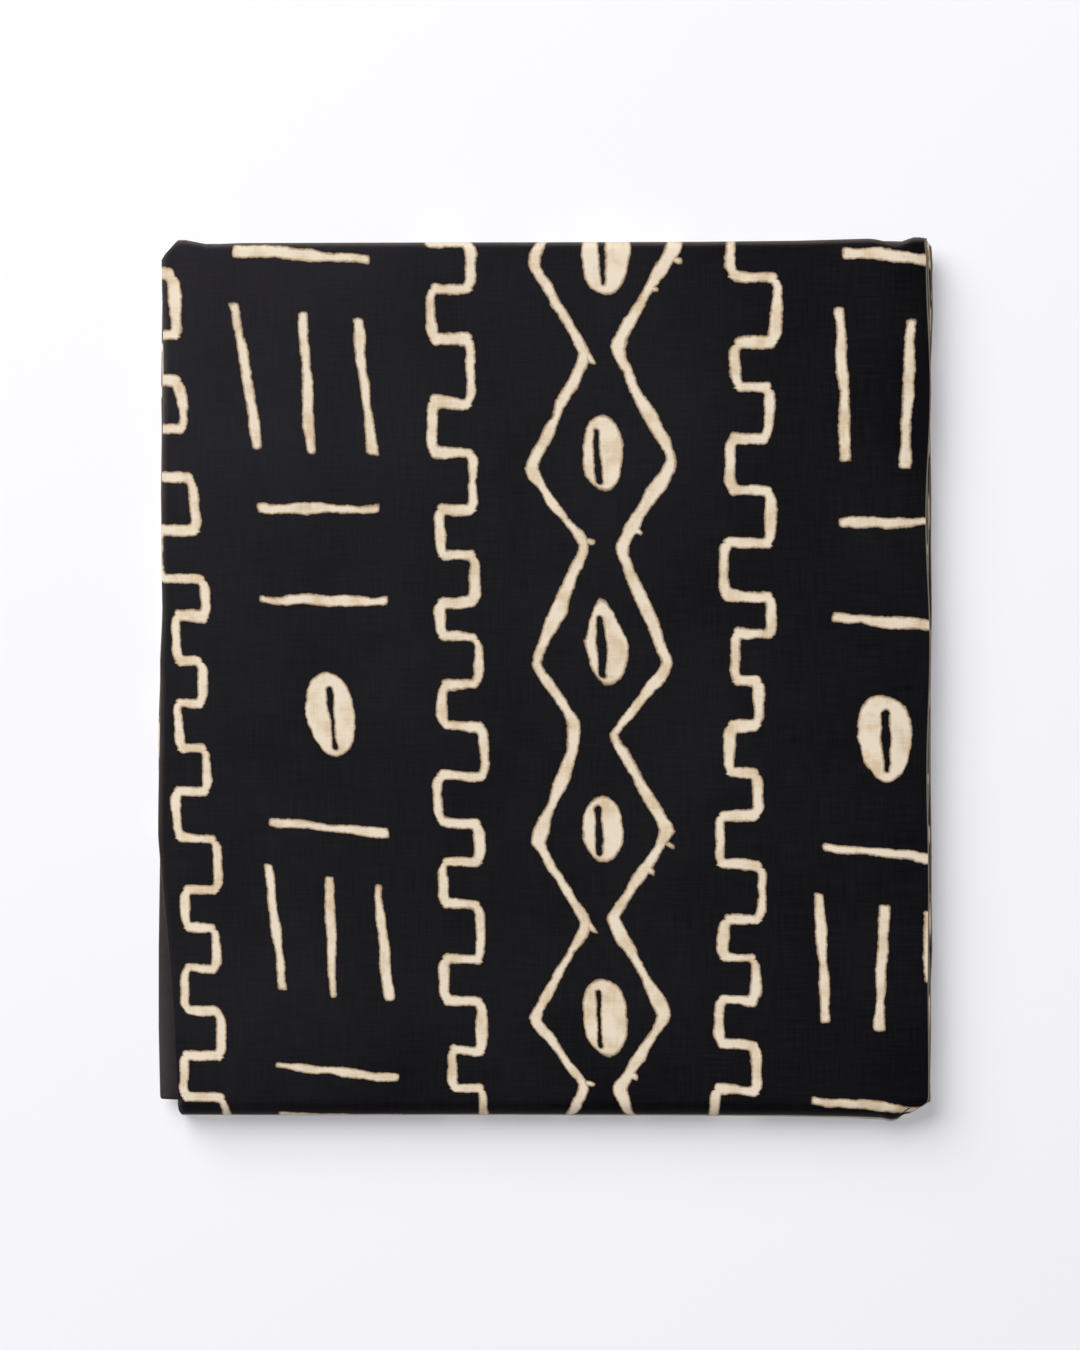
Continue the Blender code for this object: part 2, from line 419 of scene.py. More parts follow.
@dataclass
class Plies:
    """The four plies of a layer: the cloth's width folded in half and in half again."""

    span: float
    thickness: float = 0.00022
    pitch: float = 0.00032
    top_columns: int = 116
    hidden_columns: int = 10
    outer_fold_columns: int = 8
    inner_fold_columns: int = 5
    left_wear: float = 0.42
    fold_wear: float = 1.15

    def straight(self, ply: int, to_left: bool) -> list[tuple[float, ...]]:
        """Columns of one ply from one side of the bundle to the other.

        Args:
            ply: the ply's number, from 1 at the layer's one face to 4 at the other.
            to_left: whether the columns go from the right to the left.

        Returns:
            For each column its share of the width, offset, overhang, wear and ply.
        """
        level = (ply - 2.5) * self.pitch
        left = 1.5 * self.pitch
        right = 0.5 * self.pitch if ply < 3 else 0.0
        shares = np.linspace(0.0, 1.0, self.top_columns)
        if ply < 4:
            shares = 0.5 - 0.5 * np.cos(math.pi * np.linspace(0.0, 1.0, self.hidden_columns))
        rows = []
        for share in shares[::-1] if to_left else shares:
            wear = self.left_wear if ply in (1, 4) and share == 0.0 else 0.0
            rows.append((share, level, left * (1.0 - share) - right * share, wear, float(ply)))
        return rows

    def turn(self, side: int, start: int, end: int, count: int, inset: float) -> list[tuple[float, ...]]:
        """Columns round the side fold that joins two plies, without its two ends.

        Args:
            side: -1 for a fold at the left and 1 for one at the right.
            start: the ply that the fold comes from.
            end: the ply that it goes to.
            count: the steps round the fold.
            inset: how far the fold's middle is drawn in, so that tight and wide folds line up.

        Returns:
            The same values as for the columns of a ply.
        """
        low, high = (start - 2.5) * self.pitch, (end - 2.5) * self.pitch
        radius = abs(high - low) / 2
        share = 0.0 if side < 0 else 1.0
        rows = []
        for step in range(1, count):
            angle = math.pi * step / count
            overhang = side * (radius * math.sin(angle) - inset)
            level = (low + high) / 2 - (high - low) / 2 * math.cos(angle)
            ply = start + (end - start) * step / count
            base = self.left_wear if start == 4 else 0.0
            wear = base + (self.fold_wear - base) * math.sin(angle) ** 2
            rows.append((share, level, overhang, wear, ply))
        return rows

    def columns(self) -> Columns:
        """Samples the width from one selvedge, on top at the right, to the other.

        Returns:
            The columns, with their places across the bundle and along the flat width.
        """
        wide, tight = 1.5 * self.pitch, 0.5 * self.pitch
        rows = self.straight(4, to_left=True)
        rows += self.turn(-1, 4, 1, self.outer_fold_columns, wide)
        rows += self.straight(1, to_left=False)
        rows += self.turn(1, 1, 2, self.inner_fold_columns, tight)
        rows += self.straight(2, to_left=True)
        rows += self.turn(-1, 2, 3, self.inner_fold_columns, wide)
        rows += self.straight(3, to_left=False)
        share, offset, overhang, crest, ply = np.array(rows).T
        across = np.stack([share * self.span + overhang, offset], axis=1)
        steps = np.linalg.norm(np.diff(across, axis=0), axis=1)
        flat = np.concatenate([[0.0], np.cumsum(steps)])
        return Columns(share, offset, overhang, flat, crest, ply)


@dataclass
class PrintedSheet:
    """The cloth itself: one thin sheet on the section's folds, with its soft creases."""

    section: FoldSection
    plies: Plies
    name: str = "printed_cloth"
    ply_wave: float = 0.00045
    skew: float = 0.019
    lift: float = 0.00022
    lift_length: float = 0.083
    lift_reach: float = 0.016
    flat_map: str = "cloth_flat"
    bake_map: str = "OFBake"
    # mark of the crests' wear, which on the back roll also holds a painted highlight
    wear_and_highlight_layer: str = "wear"
    selvedge_layer: str = "selvedge_distance"
    smooth_angle: float = 60.0
    hidden_wear: float = 0.85
    creases: tuple[Crease, ...] = (
        Crease(-0.122, -0.0318, -0.055, -0.0312, 0.00030, 0.0026),
        Crease(0.020, -0.0300, 0.128, -0.0292, 0.00014, 0.0034),
        Crease(-0.010, 0.1200, -0.006, 0.0100, 0.00012, 0.0050),
    )

    def relief(self, x: np.ndarray, y: np.ndarray) -> np.ndarray:
        """Height of the top ply's soft swells and creases.

        Args:
            x: places across the bundle.
            y: places along it.

        Returns:
            The height to add at each place.
        """
        turn = math.tau / self.lift_length
        waves = np.sin(turn * (x + 0.35 * y)) * np.sin(turn * 0.8 * (y - 0.2 * x) + 1.1)
        height = self.lift * (1.3 + waves)
        for crease in self.creases:
            run_x, run_y = crease.end_x - crease.start_x, crease.end_y - crease.start_y
            length = math.hypot(run_x, run_y)
            along = ((x - crease.start_x) * run_x + (y - crease.start_y) * run_y) / length
            across = ((x - crease.start_x) * run_y - (y - crease.start_y) * run_x) / length
            fade = np.clip(np.minimum(along, length - along) / (0.25 * length) + 0.2, 0.0, 1.0)
            height -= crease.depth * fade * np.exp(-((across / crease.width) ** 2))
        return height

    def places(self, rows: Rows, columns: Columns) -> np.ndarray:
        """Where every point of the sheet's middle is.

        Args:
            rows: the section's rows.
            columns: the plies' columns.

        Returns:
            An array of rows by columns by three coordinates.
        """
        section = self.section
        left, right = section.side_edges(rows)
        share = columns.share[None, :]
        x = left[:, None] + (right - left)[:, None] * share + columns.overhang[None, :]
        loose = self.ply_wave * np.sin(rows.arc[:, None] * 71.0 + columns.ply[None, :] * 2.3)
        x = x + loose * np.clip(columns.ply[None, :] - 2.0, 0.0, 1.0) * share ** 6
        y = rows.y[:, None] + columns.offset[None, :] * rows.normal_y[:, None]
        z = rows.z[:, None] + columns.offset[None, :] * rows.normal_z[:, None]
        lowest = section.height(1)
        z = lowest + (z - lowest) * section.stack_scale(x, y)
        inside = np.minimum(section.width / 2 - np.abs(x), section.depth / 2 - np.abs(y))
        share_lifted = np.clip(inside / self.lift_reach - 0.3, 0.0, 1.0)
        top_ply = rows.on_top[:, None] * (columns.ply[None, :] == 4.0)
        z = z + self.relief(x, y) * top_ply * share_lifted ** 2 * (3.0 - 2.0 * share_lifted)
        return np.stack([x, y + section.outline_shift(x, y) + section.lip(x, y, z), z], axis=2)

    def flat_places(self, rows: Rows, columns: Columns, places: np.ndarray) -> np.ndarray:
        """Where every point lies on the cloth when it is flat.

        Args:
            rows: the section's rows.
            columns: the plies' columns.
            places: the folded places.

        Returns:
            For each point its X and Y on the top layer, carried on round the folds.
        """
        on_top = rows.on_top > 0.5
        start = np.interp(0.0, rows.y[on_top], rows.arc[on_top])
        last = self.plies.top_columns - 1
        across = places[:, last, 0][:, None] - (columns.flat - columns.flat[last])[None, :]
        across[:, : last + 1] = places[:, : last + 1, 0]
        along = rows.arc[:, None] - start
        first, final = np.flatnonzero(on_top)[[0, -1]]
        nearest = np.clip(np.arange(len(rows.y)), first, final)
        shift = self.section.outline_shift(places[:, :, 0], rows.y[nearest][:, None])
        top_arc = rows.arc[on_top]
        past = (rows.arc - top_arc[-1]) / self.section.depth
        across = across - self.skew * np.clip(past, 0.0, 1.0)[:, None]
        return np.stack([across, along + shift], axis=2)

    def build(self) -> bpy.types.Object:
        """Makes the sheet from a flat grid and folds it.

        Returns:
            The closed sheet, with its flat map, its bake map and its wear, which holds a painted highlight on
            the back roll.
        """
        rows, columns = self.section.rows(), self.plies.columns()
        count, width = len(rows.y), len(columns.share)
        bpy.ops.object.select_all(action="DESELECT")
        bpy.ops.mesh.primitive_grid_add(x_subdivisions=width - 1, y_subdivisions=count - 1, size=1.0)
        sheet = bpy.context.active_object
        sheet.name = sheet.data.name = self.name
        mesh = sheet.data
        flat = np.zeros(len(mesh.vertices) * 3)
        mesh.vertices.foreach_get("co", flat)
        flat = flat.reshape(-1, 3)
        column = width - 1 - np.rint((flat[:, 0] + 0.5) * (width - 1)).astype(int)
        row = np.rint((flat[:, 1] + 0.5) * (count - 1)).astype(int)
        places = self.places(rows, columns)
        mesh.vertices.foreach_set("co", places[row, column].ravel())
        loops = np.zeros(len(mesh.loops), dtype=int)
        mesh.loops.foreach_get("vertex_index", loops)
        cloth = self.flat_places(rows, columns, places)[row, column]
        while mesh.uv_layers:
            mesh.uv_layers.remove(mesh.uv_layers[0])
        flat_map = mesh.uv_layers.new(name=self.flat_map)
        flat_map.uv.foreach_set("vector", cloth[loops].ravel())
        kept = 1.0 - self.hidden_wear * rows.on_top * self.section.drawn_in(rows.y) ** 0.5
        # wear at the crests; on the back roll this is partly a painted highlight of the lit rounding
        wear_and_highlight = np.maximum(rows.crest[:, None], columns.crest[None, :] * kept[:, None])
        from_selvedge = np.minimum(columns.flat, columns.flat[-1] - columns.flat)
        self.mark(mesh, self.wear_and_highlight_layer, wear_and_highlight[row, column])
        self.mark(mesh, self.selvedge_layer, from_selvedge[column])
        mesh.update()
        self.thicken(sheet)
        self.lay_out_bake(mesh, row, column, rows, columns)
        return sheet

    @staticmethod
    def mark(mesh: bpy.types.Mesh, name: str, values: np.ndarray) -> None:
        """Keeps one number for each point of a mesh."""
        layer = mesh.attributes.new(name, "FLOAT", "POINT")
        layer.data.foreach_set("value", values.astype(np.float32))

    def thicken(self, sheet: bpy.types.Object) -> None:
        """Gives the sheet its thickness and its smooth shading.

        Args:
            sheet: the folded sheet, which is the active object.
        """
        shell = sheet.modifiers.new("thickness", "SOLIDIFY")
        shell.thickness = self.plies.thickness
        shell.offset = 0.0
        bpy.ops.object.modifier_apply(modifier=shell.name)
        bpy.ops.object.shade_smooth_by_angle(angle=math.radians(self.smooth_angle))

    def lay_out_bake(
        self, mesh: bpy.types.Mesh, row: np.ndarray, column: np.ndarray, rows: Rows, columns: Columns,
    ) -> None:
        """Adds a map for baking that gives most of the picture to what is seen.

        Args:
            mesh: the thickened sheet.
            row: the row of each point of the sheet before it was thickened.
            column: the column of each such point.
            rows: the section's rows.
            columns: the plies' columns.
        """
        points = len(row)
        loops = np.zeros(len(mesh.loops), dtype=int)
        mesh.loops.foreach_get("vertex_index", loops)
        starts = np.zeros(len(mesh.polygons), dtype=int)
        mesh.polygons.foreach_get("loop_start", starts)
        normals = np.zeros(len(mesh.polygons) * 3)
        mesh.polygons.foreach_get("normal", normals)
        corner_row, corner_column = row[loops % points], column[loops % points]
        second = loops >= points
        first_row = np.minimum.reduceat(corner_row, starts)
        first_column = np.minimum.reduceat(corner_column, starts)
        mixed = np.maximum.reduceat(second, starts) != np.minimum.reduceat(second, starts)
        face_second = np.minimum.reduceat(second, starts)
        run_end = self.section.hidden_rows - 1
        fold = self.section.tight_fold_rows + self.section.front_fold_levels[1] - 1
        top_start = run_end + fold
        top_end = top_start + self.section.top_rows - 1
        top_face = np.argmax((first_row == top_start + 1) & (first_column == 1) & ~mixed)
        outer = face_second == face_second[top_face]
        if normals[3 * top_face + 2] < 0:
            outer = ~outer
        ply = first_column < self.plies.top_columns - 1
        left_fold = ~ply & (first_column < self.plies.top_columns - 1 + self.plies.outer_fold_columns)
        shown = outer & ~mixed
        along = rows.arc[corner_row]
        across = columns.flat[corner_column]
        low_fold, high_fold = self.section.back_fold_levels
        back_end = top_end + self.section.tight_fold_rows + high_fold - low_fold
        under = shown & ply & (first_row < run_end)
        roll = shown & ply & (first_row >= run_end) & (first_row < top_start)
        top = shown & ply & (first_row >= top_start) & (first_row < top_end)
        back = shown & ply & (first_row >= top_end) & (first_row < back_end)
        areas = (
            (~mixed & ~outer, (0.004, 0.020, 0.996, 0.070), False),
            (shown, (0.004, 0.075, 0.996, 0.140), False),
            (shown & left_fold, (0.004, 0.145, 0.996, 0.182), False),
            (under, (0.652, 0.250, 0.996, 0.994), True),
            (roll, (0.004, 0.190, 0.644, 0.242), True),
            (top, (0.004, 0.250, 0.644, 0.994), True),
            (back, (0.652, 0.190, 0.996, 0.242), True),
        )
        bake = np.zeros((len(loops), 2))
        counts = np.diff(np.append(starts, len(loops)))
        for chosen, (low_u, low_v, high_u, high_v), upright in areas:
            corners = np.repeat(chosen, counts)
            level, rise = (across, along) if upright else (along, across)
            for axis, values, low, high in ((0, level, low_u, high_u), (1, rise, low_v, high_v)):
                least, most = values[corners].min(), values[corners].max()
                bake[corners, axis] = low + (high - low) * (values[corners] - least) / (most - least)
        rim = np.repeat(mixed, counts)
        by_column = np.repeat(np.maximum.reduceat(corner_column, starts) == first_column, counts)
        place = np.where(by_column, along / along.max(), across / across.max())
        far_side = np.where(by_column, corner_column > 0, corner_row > 0)
        lane = np.where(by_column, 0.0, 0.006) + far_side * 0.003
        bake[rim, 0] = 0.004 + 0.992 * place[rim]
        bake[rim, 1] = 0.003 + lane[rim] + 0.002 * second[rim]
        layer = mesh.uv_layers.new(name=self.bake_map)
        layer.uv.foreach_set("vector", bake.ravel())
        mesh.uv_layers.active = mesh.uv_layers[self.flat_map]


class Value:
    """A shader's number, which can be used in Python expressions."""

    def __init__(self, shader: "Shader", socket: bpy.types.NodeSocket) -> None:
        """Wraps an output socket of a shader's node."""
        self.shader = shader
        self.socket = socket

    def __add__(self, other: "Number") -> "Value":
        """Sum."""
        return self.shader.math("ADD", self, other)

    def __sub__(self, other: "Number") -> "Value":
        """Difference."""
        return self.shader.math("SUBTRACT", self, other)

    def __rsub__(self, other: "Number") -> "Value":
        """Difference, the other way round."""
        return self.shader.math("SUBTRACT", other, self)

    def __mul__(self, other: "Number") -> "Value":
        """Product."""
        return self.shader.math("MULTIPLY", self, other)

    def __truediv__(self, other: "Number") -> "Value":
        """Quotient."""
        return self.shader.math("DIVIDE", self, other)

    def __abs__(self) -> "Value":
        """Size without sign."""
        return self.shader.math("ABSOLUTE", self)

    __radd__ = __add__
    __rmul__ = __mul__


Number = Union[Value, float]


class Shader:
    """A material's node tree, with one method that adds any node."""

    def __init__(self, name: str) -> None:
        """Starts an empty material.

        Args:
            name: the material's name.
        """
        self.material = bpy.data.materials.new(name)
        self.material.use_nodes = True
        self.tree = self.material.node_tree
        self.tree.nodes.clear()

    def node(self, kind: str, settings: Optional[dict] = None, **inputs: object) -> bpy.types.Node:
        """Adds a node.

        Args:
            kind: the node's type.
            settings: what is set on the node first; "stops" are a ramp's places and values.
            inputs: values or links for its sockets, by name with _ for a space, or by _number.

        Returns:
            The node.
        """
        node = self.tree.nodes.new(kind)
        for key, value in (settings or {}).items():
            if key == "stops":
                self.set_stops(node, value)
            else:
                setattr(node, key, value)
        for key, value in inputs.items():
            numbered = key.startswith("_")
            socket = node.inputs[int(key[1:])] if numbered else node.inputs[key.replace("_", " ")]
            if isinstance(value, Value):
                self.tree.links.new(value.socket, socket)
            elif isinstance(value, bpy.types.NodeSocket):
                self.tree.links.new(value, socket)
            else:
                socket.default_value = value
        return node

    @staticmethod
    def set_stops(node: bpy.types.Node, stops: list[tuple[float, float]]) -> None:
        """Gives a ramp its stops, as grey values; the first is at 0 and the last at 1.

        Args:
            node: the ramp.
            stops: places and values, in order.
        """
        elements = node.color_ramp.elements
        elements[0].color = (stops[0][1],) * 3 + (1.0,)
        elements[1].color = (stops[-1][1],) * 3 + (1.0,)
        for place, value in stops[1:-1]:
            elements.new(place).color = (value,) * 3 + (1.0,)

    def math(self, operation: str, *values: Number) -> Value:
        """A Math node on up to three numbers."""
        inputs = {f"_{index}": value for index, value in enumerate(values)}
        return Value(self, self.node("ShaderNodeMath", {"operation": operation}, **inputs).outputs[0])

    def least(self, *values: Number) -> Value:
        """The smallest of several numbers.

        Args:
            values: the numbers.

        Returns:
            The smallest one at each place.
        """
        result = values[0]
        for value in values[1:]:
            result = self.math("MINIMUM", result, value)
        return result

    def length(self, a: Number, b: Number) -> Value:
        """The length of a step of a one way and b the other."""
        return self.math("SQRT", a * a + b * b)

    def step(self, value: Number, start: float, end: float) -> Value:
        """0 below start, 1 above end, and a smooth rise between them.

        Args:
            value: the number that is looked at.
            start: where the rise starts.
            end: where it ends.

        Returns:
            The step.
        """
        node = self.node(
            "ShaderNodeMapRange", {"interpolation_type": "SMOOTHSTEP"}, _0=value, _1=start, _2=end,
        )
        return Value(self, node.outputs[0])

    def ramp(self, place: Value, stops: list[tuple[float, float]], interpolation: str) -> Value:
        """A number looked up along a ramp of grey values.

        Args:
            place: the place on the ramp, from 0 to 1.
            stops: the ramp's places and values.
            interpolation: how the ramp goes from one stop to the next.

        Returns:
            The value at the place.
        """
        node = self.node("ShaderNodeValToRGB", {"stops": stops}, Fac=place)
        node.color_ramp.interpolation = interpolation
        return Value(self, node.outputs[0])

    def clamp(self, value: Number, low: Number, high: Number) -> Value:
        """The number, kept between two others."""
        return self.math("MINIMUM", self.math("MAXIMUM", value, low), high)

    def vector(self, x: Number, y: Number, z: Number = 0.0) -> bpy.types.NodeSocket:
        """A vector of three numbers."""
        return self.node("ShaderNodeCombineXYZ", None, X=x, Y=y, Z=z).outputs[0]

    def noise(
        self, vector: bpy.types.NodeSocket, scale: float, detail: float = 2.0, seed: float = 0.0,
    ) -> Value:
        """Soft noise from 0 to 1.

        Args:
            vector: where the noise is read.
            scale: how fine it is.
            detail: how many finer layers it has.
            seed: which noise of its kind it is.

        Returns:
            The noise.
        """
        node = self.node(
            "ShaderNodeTexNoise", {"noise_dimensions": "4D"},
            Vector=vector, W=seed, Scale=scale, Detail=detail, Roughness=0.55,
        )
        return Value(self, node.outputs[0])

    def colour(self, factor: Number, low: object, high: object) -> bpy.types.NodeSocket:
        """A colour between two others."""
        node = self.node("ShaderNodeMix", {"data_type": "RGBA"}, _0=factor, _6=low, _7=high)
        return node.outputs[2]

    def attribute(self, name: str) -> Value:
        """A number kept on the mesh."""
        node = self.node("ShaderNodeAttribute", {"attribute_name": name})
        return Value(self, node.outputs["Fac"])


class Stroke(NamedTuple):
    """A short hand-drawn bar, from one end to the other, in the print's millimetres.

    row and column say whether it is drawn in the even (0) or the odd (1) ones of the print's
    repeats, or in all of them (None).
    """

    start_u: float
    start_v: float
    end_u: float
    end_v: float
    row: Optional[int] = None
    column: Optional[int] = None


class Shell(NamedTuple):
    """A cowrie: its middle, size, how much narrower its upper end is, its slit's place and its shape.

    lean is how far it leans to the right for each millimetre towards the front, and blunt is how
    square its ends are, from 1 for round ones. row and column are as in a Stroke.
    """

    u: float
    v: float
    width: float
    length: float
    point: float
    slit: float
    lean: float
    blunt: float
    row: Optional[int] = None
    column: Optional[int] = None


class Bends(Enum):
    """How a line goes from one of its turning points to the next."""

    STEPPED = "CONSTANT"
    SLANTED = "LINEAR"


@dataclass(frozen=True)
class StrokePrint:
    """One repeat of the hand-drawn print, in millimetres: u to the right and v to the front."""

    repeat: float = 214.4
    first_u: float = -20.0
    first_v: float = 38.0
    line_half: float = 1.9
    zigzag_half: float = 1.9
    barb_half: float = 1.1
    bar_half: float = 1.7
    upright_half: float = 1.75
    end_round: float = 2.2
    slit_half: float = 1.2
    slit_share: float = 0.38
    zigzag_slope: float = 0.85
    zigzag_swell: float = 2.6
    step_reach: float = 14.0
    corner_fillet: float = 1.3
    corner_bend: float = 1.6
    corner_reach: float = 4.0
    chain_round: float = 3.0
    corner_keeps: float = 0.6
    right_line: tuple[tuple[float, float], ...] = (
        (39.1, 172.7), (57.8, 188.5), (73.4, 173.8), (91.2, 188.0), (113.5, 173.3), (131.7, 188.0),
        (152.2, 175.4), (168.9, 188.2), (186.6, 174.9), (199.8, 189.0), (217.9, 175.0), (233.9, 190.4),
    )
    left_line: tuple[tuple[float, float], ...] = (
        (50.0, 65.7), (69.0, 82.0), (91.0, 68.0), (106.8, 80.5), (124.2, 67.0), (142.6, 81.8),
        (162.0, 65.6), (180.8, 83.0), (195.0, 69.8), (212.3, 79.5), (229.3, 68.7), (247.4, 79.5),
    )
    chain_left: tuple[tuple[float, float], ...] = (
        (64.8, -4.0), (95.8, 15.8), (136.8, -5.5), (163.9, 14.8), (209.3, -4.0), (229.6, 10.3),
        (241.6, 10.3),
    )
    chain_right: tuple[tuple[float, float], ...] = (
        (57.3, 47.0), (93.3, 25.3), (132.4, 46.5), (164.7, 27.8), (207.5, 46.3), (235.0, 24.9),
    )
    shells: tuple[Shell, ...] = (
        Shell(21.8, 57.7, 14.9, 26.4, 0.05, -0.12, 0.02, 1.25, row=0),
        Shell(22.2, 60.7, 16.6, 27.2, 0.05, -0.08, 0.02, 1.25, row=1),
        Shell(22.7, 134.2, 18.0, 31.4, 0.0, -0.14, 0.04, 1.15, row=0),
        Shell(21.4, 130.8, 14.6, 26.8, 0.0, -0.14, 0.04, 1.25, row=1),
        Shell(22.6, 199.9, 16.0, 31.4, 0.75, -0.12, 0.08, 1.05),
        Shell(125.4, 232.2, 19.6, 32.0, -0.30, 0.02, 0.06, 1.6, column=0),
        Shell(131.0, 231.8, 19.6, 32.0, -0.30, 0.02, 0.06, 1.6, column=1),
    )
    bars: tuple[Stroke, ...] = (
        Stroke(104.0, 61.0, 152.3, 63.5),
        Stroke(104.3, 187.5, 144.0, 190.3, column=0),
        Stroke(104.5, 187.5, 155.5, 186.4, column=1),
        Stroke(103.5, 164.1, 154.0, 166.2, row=0),
        Stroke(106.0, 153.3, 152.4, 152.2, row=1),
    )
    barbs: tuple[Stroke, ...] = (
        Stroke(44.3, 62.3, 49.4, 63.9),
        Stroke(15.5, 94.5, 18.4, 100.0),
        Stroke(31.0, 157.0, 36.0, 159.6),
        Stroke(14.0, 162.5, 19.0, 163.5),
        Stroke(37.0, 72.4, 41.6, 74.2),
    )
    uprights: tuple[Stroke, ...] = (
        Stroke(103.5, 79.0, 107.8, 131.0),
        Stroke(128.0, 82.5, 128.0, 133.5),
        Stroke(143.8, 84.1, 145.9, 113.0, column=0),
        Stroke(147.5, 84.0, 151.0, 132.5, column=1),
    )

    def around(self, points: tuple[tuple[float, float], ...]) -> list[tuple[float, float]]:
        """A line's points with two more from the repeat before and from the one after.

        Args:
            points: the line's turning points, as v and u.

        Returns:
            The points, in order.
        """
        before = [(at - self.repeat, u) for at, u in points[-2:]]
        after = [(at + self.repeat, u) for at, u in points[:2]]
        return [*before, *points, *after]

    def held(self, shader: Shader, v: Value, starts: list[float], values: list[float]) -> Value:
        """A number that stays the same from each of several places to the next.

        Args:
            shader: the material's nodes.
            v: the place along the repeat.
            starts: where each value starts, from before the repeat to its end.
            values: the values.

        Returns:
            The value at v.
        """
        low = min(values)
        span = max(values) - low
        first = max(index for index, at in enumerate(starts) if at <= self.first_v)
        stops = [(0.0, (values[first] - low) / span)]
        for at, value in zip(starts[first + 1:], values[first + 1:]):
            if at < self.first_v + self.repeat:
                stops.append(((at - self.first_v) / self.repeat, (value - low) / span))
        stops.append((1.0, stops[-1][1]))
        return shader.ramp((v - self.first_v) / self.repeat, stops, Bends.STEPPED.value) * span + low

    def slanted(self, shader: Shader, v: Value, points: tuple[tuple[float, float], ...]) -> Value:
        """Where a slanted line that runs towards the front is, for each v.

        Args:
            shader: the material's nodes.
            v: the place along the repeat.
            points: the line's turning points, as v and u.

        Returns:
            The line's u.
        """
        low = min(u for _, u in points)
        span = max(u for _, u in points) - low
        places, values = zip(*self.around(points))
        ends = np.interp([self.first_v, self.first_v + self.repeat], places, values)
        stops = [(0.0, (ends[0] - low) / span)]
        stops += [((at - self.first_v) / self.repeat, (u - low) / span) for at, u in self.rounded(points)]
        stops += [(1.0, (ends[1] - low) / span)]
        return shader.ramp((v - self.first_v) / self.repeat, stops, Bends.SLANTED.value) * span + low

    def rounded(self, points: tuple[tuple[float, float], ...]) -> list[tuple[float, float]]:
        """The points of a slanted line with each corner cut off by two nearer ones.

        Args:
            points: the line's turning points, as v and u.

        Returns:
            Three points for each corner.
        """
        places, values = zip(*self.around(points))
        reach = self.chain_round
        turned = []
        for at, u in points:
            before, after = np.interp([at - reach, at + reach], places, values)
            middle = self.corner_keeps * u + (1.0 - self.corner_keeps) * (before + after) / 2
            turned += [(at - reach, before), (at, middle), (at + reach, after)]
        return turned

    def steps(self, shader: Shader, u: Value, v: Value, points: tuple[tuple[float, float], ...]) -> Value:
        """Distance from a castellated line.

        Args:
            shader: the material's nodes.
            u: the place across the repeat.
            v: the place along it.
            points: where the line steps, as v and the u that it steps to.

        Returns:
            The distance from the middle of the line.
        """
        places = [at for at, _ in self.around(points)]
        marks = sorted(places + [(a + b) / 2 for a, b in zip(places, places[1:])])
        away = [0.0 if mark in places else 1.0 for mark in marks]
        away = [far * self.nearest(mark, places) / self.step_reach for far, mark in zip(away, marks)]
        ends = np.interp([self.first_v, self.first_v + self.repeat], marks, away)
        inner = [
            ((mark - self.first_v) / self.repeat, far) for mark, far in zip(marks, away)
            if self.first_v < mark < self.first_v + self.repeat
        ]
        stops = [(0.0, ends[0]), *inner, (1.0, ends[1])]
        from_step = shader.ramp((v - self.first_v) / self.repeat, stops, Bends.SLANTED.value)
        table = self.around(points)
        halfway = [(a[0] + b[0]) / 2 for a, b in zip(table, table[1:])]
        middle = self.held(shader, v, halfway, [(a[1] + b[1]) / 2 for a, b in zip(table, table[1:])])
        half = self.held(shader, v, halfway, [abs(a[1] - b[1]) / 2 for a, b in zip(table, table[1:])])
        riser_at = self.held(shader, v, places, [new_u for _, new_u in table])
        from_step = from_step * self.step_reach
        beside = shader.math("MAXIMUM", abs(u - middle) - (half - self.corner_bend), 0.0)
        tread = shader.length(from_step, beside)
        near = shader.math("MAXIMUM", 1.0 - from_step / self.corner_reach, 0.0)
        straightened = 1.0 - near * near * self.corner_bend / half
        riser = abs(u - middle - (riser_at - middle) * straightened)
        return shader.math("SMOOTH_MIN", tread, riser, self.corner_fillet)

    @staticmethod
    def nearest(mark: float, places: list[float]) -> float:
        """Distance from a mark to the nearest of several places."""
        return min(abs(mark - place) for place in places)

    def bar(self, shader: Shader, u: Value, v: Value, stroke: Stroke) -> Value:
        """Distance from a short straight stroke with blunt ends.

        Args:
            shader: the material's nodes.
            u: the place across the repeat.
            v: the place along it.
            stroke: the stroke.

        Returns:
            The distance from the stroke's middle line.
        """
        lengthways = abs(stroke.end_u - stroke.start_u) > abs(stroke.end_v - stroke.start_v)
        start, end = (stroke[0:2], stroke[2:4]) if lengthways else (stroke[1::-1], stroke[3:1:-1])
        along, across = (u, v) if lengthways else (v, u)
        slope = (end[1] - start[1]) / (end[0] - start[0])
        middle, half = (start[0] + end[0]) / 2, (end[0] - start[0]) / 2
        aside = across - (along * slope + (start[1] - start[0] * slope))
        beyond = abs(along - middle) - half + self.bar_half
        return shader.math("SMOOTH_MAX", abs(aside), beyond, self.end_round)

